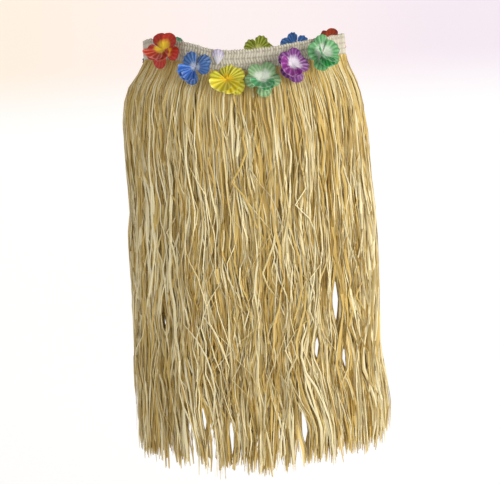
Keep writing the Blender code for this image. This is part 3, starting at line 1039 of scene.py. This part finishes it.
class SKIRT_OT_flowers(bpy.types.Operator):
    """Makes the cloth flowers round the band"""

    bl_idname = "skirt.flowers"
    bl_label = "Cloth flowers"

    def execute(self, context):
        petals = context.scene.skirt_petals
        for number, row in enumerate(context.scene.skirt_flowers):
            self.flower(petals, row, number)
        self.loose_petal(petals, context.scene.skirt_loose_petal)
        return {"FINISHED"}

    def marked(self):
        """A new mesh with the marks that the cloth's colours read."""
        mesh = bmesh.new()
        names = ("along", "ridge", "lip", "tone")
        return mesh, [mesh.verts.layers.float.new("petal_" + name) for name in names]

    def flower(self, petals, row, number):
        """One flower of five pleated petals with a folded lip, on a short calyx."""
        dice = np.random.default_rng(60 + number)
        mesh, marks = self.marked()
        fix, centre, turn, axis = flower_place(row)
        for order, (around, share, spread, forward, cup, curl, lip) in enumerate(PETALS):
            turned = around + (row.lip_around if lip else row.roll) + dice.normal(0, AROUND_SPREAD)
            place = petal_place(centre + axis * PETAL_GAP * order, turn, turned)
            length = row.radius * share * dice.uniform(*SIZE_RANGE)
            depth = row.pleated * dice.uniform(*DEPTH_RANGE)
            spread *= dice.uniform(*SIZE_RANGE)
            forward += dice.normal(0, FORWARD_SPREAD)
            pose = (spread, forward, cup + dice.normal(0, CUP_SPREAD), curl, depth)
            waver = (dice.uniform(0, 6.28), dice.normal(0, 1))
            add_petal(mesh, marks, petals, place, length, pose, waver, lip, dice.uniform(0, 1))
        self.calyx(mesh, marks, fix, centre - axis * 0.0005)
        self.sewn(row, mesh, (row.name,), row.radius * petals.cut, petals.used)

    def loose_petal(self, petals, row):
        """A single petal that hangs down over the band's top edge."""
        mesh, marks = self.marked()
        _, centre, turn, axis = flower_place(row)
        place = petal_place(centre - axis * (FACE_STAND_OFF - LOOSE_STAND_OFF), turn, LOOSE_TURN)
        pose = (*LOOSE_POSE, row.pleated)
        add_petal(mesh, marks, petals, place, row.radius, pose, LOOSE_WAVER, 0, 0.5)
        self.sewn(row, mesh, (), row.radius * 0.8, 0.8)

    def sewn(self, row, mesh, nodes, side, used):
        """Finishes a piece of cloth; side, the square it would be cut from, and used, the share of
        it, are not used.
        """
        softened(mesh)
        for edge in mesh.edges:
            edge.smooth = edge.calc_face_angle(0.0) < math.radians(40)
        piece = shown(row.name + "_silk", mesh, self.silk(row), nodes)

    def calyx(self, mesh, marks, foot, throat):
        """A short cone of rolled cloth from the band to the throat."""
        rest = (throat - foot).to_track_quat("Z", "Y").to_matrix().to_4x4()
        middle = Matrix.Translation((foot + throat) / 2) @ rest
        size = {"radius1": CALYX_FOOT, "radius2": CALYX_THROAT, "depth": (throat - foot).length}
        cone = bmesh.ops.create_cone(mesh, cap_ends=True, segments=20, matrix=middle, **size)
        for vert in cone["verts"]:
            vert[marks[0]] = THROAT

    def silk(self, row):
        """Thin pleated cloth, pale at the throat, darker down in the pleats as painted shade, with
        painted highlights.
        """
        finish = Finish(row.name + "_silk")
        along, ridge = finish.value("petal_along"), finish.value("petal_ridge")
        lip, tone = finish.value("petal_lip"), finish.value("petal_tone")
        blot = finish.grain(finish.place(), (150.0, 150.0, 150.0))
        weave = finish.grain(finish.place(), (2600.0, 2600.0, 2600.0), 1.0)
        spread = along + blot * 0.36 - 0.18 + ridge * row.pleated * 0.05
        # Painted highlight: a lighter copy of the petal colour, for the pleat crests and the lip's
        # rim.
        bright = [c + (1 - c) * 0.22 for c in row.petal]
        # Painted shade: the pleat beds take the darker bed colour.
        raised = ridge.between(-0.9, 0.5) * row.pleated + (1 - row.pleated)
        petal = finish.mixed(raised, row.bed, row.petal)
        # Painted highlight on the pleat crests, stronger on some petals than on others.
        crest = ridge.between(0.3, 1.0) * (tone * 0.7 + 0.1) * row.pleated
        petal = finish.mixed(crest, petal, bright)
        petal = finish.mixed(blot.between(0.40, 0.70) * 0.35 * (1 - tone), petal, row.bed)
        past_throat = spread.between(row.reach * 0.50, row.reach * 1.20)
        colour = finish.mixed(past_throat, row.throat, petal)
        colour = finish.mixed(spread.between(0.84, 1.06) * 0.60, colour, row.bed)
        # Painted shade down in the lip's folds, and a painted highlight on its crests.
        dark = [c * 0.60 for c in row.lip]
        shine = [c + (1 - c) * 0.22 for c in row.lip]
        fold = finish.mixed(ridge.between(-0.7, 0.8), dark, row.lip)
        crest = ridge.between(0.4, 1.0) * blot.between(0.35, 0.65) * 0.8
        fold = finish.mixed(crest, fold, shine)
        past_throat = spread.between(row.reach * 0.30, row.reach * 0.85)
        fold = finish.mixed(past_throat, row.throat, fold)
        # Painted highlight along the lip's rim.
        fold = finish.mixed(spread.between(0.90, 1.04) * 0.7, fold, bright)
        finish.surface(
            Base_Color=finish.mixed(lip, colour, fold),
            Roughness=weave * 0.2 + 0.36,
            Sheen_Weight=0.15,
            Sheen_Roughness=0.4,
            Specular_IOR_Level=0.4,
        )
        finish.bumped(weave, 0.00008, 0.5)
        return finish.material


class SKIRT_OT_stage(bpy.types.Operator):
    """Sets the floor and backdrop, the lights and the camera"""

    bl_idname = "skirt.stage"
    bl_label = "Floor, lights and camera"

    def execute(self, context):
        stage = context.scene.skirt_stage
        self.sweep(stage)
        for name, power, place, aim, size, colour in LAMPS:
            self.lamp(name, place, aim, size, getattr(stage, power), colour)
        world = bpy.data.worlds.new("even_light")
        world.use_nodes = True
        back = world.node_tree.nodes["Background"]
        back.inputs["Color"].default_value = (1.0, 0.99, 0.975, 1.0)
        back.inputs["Strength"].default_value = stage.sky
        context.scene.world = world
        context.scene.view_settings.view_transform = "Standard"
        self.camera(stage)
        return {"FINISHED"}

    def sweep(self, stage):
        """A pale floor that curves up into a backdrop."""
        mesh = bmesh.new()
        verts = bmesh.ops.create_grid(mesh, x_segments=12, y_segments=48, size=1.0)["verts"]
        arc = PAPER_BEND * math.pi / 2
        for vert in verts:
            run = (vert.co.y + 1) / 2 * (PAPER_FLAT + arc + PAPER_TALL)
            turn = min(max(run - PAPER_FLAT, 0.0), arc) / PAPER_BEND
            back = min(run, PAPER_FLAT) + PAPER_BEND * math.sin(turn)
            up = PAPER_BEND * (1 - math.cos(turn)) + max(run - PAPER_FLAT - arc, 0.0)
            vert.co = (vert.co.x * PAPER_REACH, back - PAPER_REACH, stage.floor + up)
        for face in mesh.faces:
            face.smooth = True
        data = as_data("floor", mesh)
        finish = Finish("pale_paper")
        parts = finish.node("ShaderNodeSeparateXYZ", {}, {0: finish.place()})
        side, height = Wire(finish, parts.outputs[0]), Wire(finish, parts.outputs[2])
        tone = finish.mixed(side.between(*PEACH_TO_ROSE), PEACH, ROSE)
        tone = finish.mixed(side.between(*ROSE_TO_LILAC), tone, LILAC)
        tone = finish.mixed(height.between(*WHITE_TO_TINT), WHITE, tone)
        matt = {"Roughness": 0.9, "Specular_IOR_Level": 0.1, "Emission_Strength": stage.glow}
        half = finish.mixed(0.5, tone, (0, 0, 0))
        finish.surface(Base_Color=half, Emission_Color=tone, **matt)
        data.materials.append(finish.material)
        floor = placed("floor", data)

    def lamp(self, name, place, aim, size, power, colour):
        """A soft square light."""
        data = bpy.data.lights.new(name, "AREA")
        data.size, data.energy, data.color = size, power, colour
        lamp = placed(name, data)
        lamp.location = place
        lamp.rotation_mode = "QUATERNION"
        lamp.rotation_quaternion = (Vector(aim) - Vector(place)).to_track_quat("-Z", "Y")

    def camera(self, stage):
        """The camera at the photograph's height, pitch and slight roll."""
        pitch, roll = math.radians(CAMERA_PITCH), math.radians(CAMERA_ROLL)
        ahead = Vector((0.0, math.cos(pitch), -math.sin(pitch)))
        level = Vector((1.0, 0.0, 0.0))
        above = level.cross(ahead)
        right = level * math.cos(roll) - above * math.sin(roll)
        up = above * math.cos(roll) + level * math.sin(roll)
        data = bpy.data.cameras.new("camera")
        data.lens, data.sensor_width = stage.lens, 36.0
        camera = placed("camera", data)
        turn = Matrix((right, up, -ahead)).transposed().to_4x4()
        camera.matrix_world = Matrix.Translation(CAMERA_PLACE) @ turn
        bpy.context.scene.camera = camera


class SKIRT_PT_pieces(bpy.types.Panel):
    """Lists the skirt's pieces"""

    bl_label = "Grass skirt"
    bl_space_type = "VIEW_3D"
    bl_region_type = "UI"
    bl_category = "Grass skirt"

    def draw(self, context):
        for operator in OPERATORS:
            self.layout.operator(operator.bl_idname)


OPERATORS = (SKIRT_OT_band, SKIRT_OT_strands, SKIRT_OT_flowers, SKIRT_OT_stage)
GROUPS = (SkirtStrands, SkirtBand, SkirtFlower, SkirtPetals, SkirtStage)
HELD_BY_SCENE = {
    "skirt_strands": PointerProperty(type=SkirtStrands),
    "skirt_band": PointerProperty(type=SkirtBand),
    "skirt_petals": PointerProperty(type=SkirtPetals),
    "skirt_stage": PointerProperty(type=SkirtStage),
    "skirt_flowers": CollectionProperty(type=SkirtFlower),
    "skirt_loose_petal": PointerProperty(type=SkirtFlower),
}


def register():
    """Adds the classes and fills the flowers' rows."""
    for item in (*GROUPS, *OPERATORS, SKIRT_PT_pieces):
        bpy.utils.register_class(item)
    for name, held in HELD_BY_SCENE.items():
        setattr(bpy.types.Scene, name, held)
    fill_row(bpy.context.scene.skirt_loose_petal, LOOSE_PETAL)
    for values in FLOWERS:
        fill_row(bpy.context.scene.skirt_flowers.add(), values)


def fill_row(row, values):
    """Writes a table's row into a flower's properties."""
    for name, value in zip(FLOWER_FIELDS, values):
        setattr(row, name, value)


def unregister():
    """Takes the classes out again."""
    for name in HELD_BY_SCENE:
        delattr(bpy.types.Scene, name)
    for item in (SKIRT_PT_pieces, *OPERATORS, *reversed(GROUPS)):
        bpy.utils.unregister_class(item)


def main():
    """Dresses the frame."""
    register()
    bpy.ops.skirt.band()
    bpy.ops.skirt.strands()
    bpy.ops.skirt.flowers()
    bpy.ops.skirt.stage()


if __name__ == "__main__":
    main()
